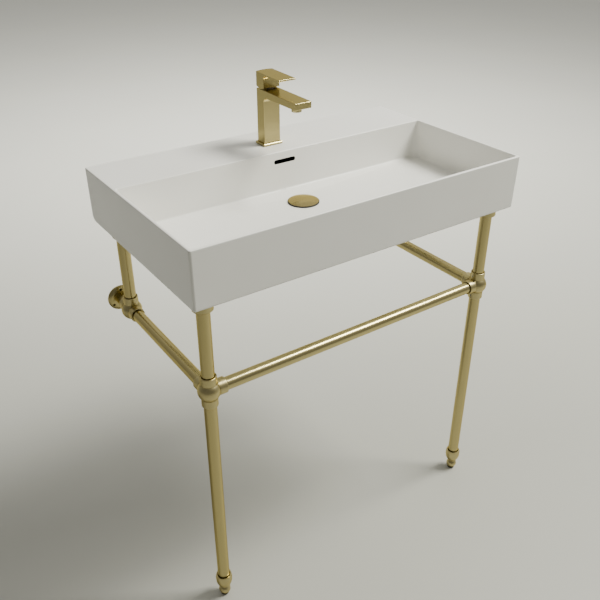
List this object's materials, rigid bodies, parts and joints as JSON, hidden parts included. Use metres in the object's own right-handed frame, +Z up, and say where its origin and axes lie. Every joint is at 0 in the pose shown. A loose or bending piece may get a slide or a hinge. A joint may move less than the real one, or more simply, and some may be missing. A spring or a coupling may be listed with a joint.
{
  "type": "console sink with legs",
  "caption": "Rectangular basin with a flush tap deck on a tubular stand, with a lever tap, a click waste and levelling feet, for fixing to a wall.",
  "frame": {"origin": "on the floor below the middle of the basin, halfway between its front and the wall", "axes": "+X to the right along the wall as seen by the user, +Y into the wall, +Z up"},
  "size_m": [0.812, 0.477, 1.0884],
  "materials": {
    "fireclay": "satin white glaze",
    "brushed_brass": "brushed, matt gold tone",
    "plain_brass": "turned",
    "steel": "plain stainless",
    "black_rubber": "moulded",
    "plastic": "moulded",
    "disc_ceramic": "lapped"
  },
  "bodies": {
    "console": {"ball_set_screws": "steel", "basin": "fireclay", "foot_cup_left": "brushed_brass", "foot_cup_right": "brushed_brass", "front_ball_left": "brushed_brass", "front_ball_right": "brushed_brass", "front_rail": "brushed_brass", "lower_leg_left": "brushed_brass", "lower_leg_right": "brushed_brass", "rear_ball_left": "brushed_brass", "rear_ball_right": "brushed_brass", "rear_upright_left": "brushed_brass", "rear_upright_right": "brushed_brass", "side_rail_left": "brushed_brass", "side_rail_right": "brushed_brass", "tap_aerator_housing": "brushed_brass", "tap_aerator_insert": "plastic", "tap_base_gasket": "black_rubber", "tap_base_plate": "brushed_brass", "tap_body": "brushed_brass", "tap_cartridge_housing": "plastic", "tap_cartridge_nut": "plain_brass", "tap_ceramic_disc": "disc_ceramic", "tap_clamp_gasket": "black_rubber", "tap_clamp_plate": "steel", "tap_stud": "plain_brass", "tap_stud_nut": "plain_brass", "top_collar_front_left": "brushed_brass", "top_collar_front_right": "brushed_brass", "top_collar_rear_left": "brushed_brass", "top_collar_rear_right": "brushed_brass", "top_pad_front_left": "black_rubber", "top_pad_front_right": "black_rubber", "top_pad_rear_left": "black_rubber", "top_pad_rear_right": "black_rubber", "upper_leg_left": "brushed_brass", "upper_leg_right": "brushed_brass", "wall_flange_left": "brushed_brass", "wall_flange_right": "brushed_brass", "wall_stub_left": "brushed_brass", "wall_stub_right": "brushed_brass", "waste_body": "brushed_brass", "waste_click_mechanism": "plain_brass", "waste_flange_gasket": "black_rubber", "waste_locknut": "brushed_brass", "waste_lower_gasket": "black_rubber", "waste_slip_washer": "plastic", "waste_tailpiece": "brushed_brass"},
    "handle_carrier": {"tap_cartridge_rotor": "plastic", "tap_cartridge_pin": "steel"},
    "handle_lever": {"tap_handle": "brushed_brass", "tap_cartridge_stem": "steel", "tap_handle_grub_screw": "steel"},
    "waste_plug": {"waste_cap": "brushed_brass", "waste_cap_seal": "black_rubber", "waste_plunger": "plain_brass"},
    "left_foot": {"foot_ball_left": "brushed_brass", "foot_pad_left": "black_rubber"},
    "right_foot": {"foot_ball_right": "brushed_brass", "foot_pad_right": "black_rubber"}
  },
  "joints": [
    {"name": "tap_handle_turn", "type": "hinge", "parent": "console", "child": "handle_carrier", "pos_m": [0, 0.15, 1.0431], "axis": [0, 0, 1], "range_deg": [-45, 45]},
    {"name": "tap_handle_lift", "type": "hinge", "parent": "handle_carrier", "child": "handle_lever", "pos_m": [0, 0.15, 1.0431], "axis": [-1, 0, 0], "range_deg": [0, 16]},
    {"name": "waste_cap_slide", "type": "slide", "parent": "console", "child": "waste_plug", "axis": [0, 0, 1], "range_m": [0, 0.009]},
    {"name": "left_foot_level", "type": "slide", "parent": "console", "child": "left_foot", "axis": [0, 0, -1], "range_m": [0, 0.012]},
    {"name": "right_foot_level", "type": "slide", "parent": "console", "child": "right_foot", "axis": [0, 0, -1], "range_m": [0, 0.012]}
  ]
}
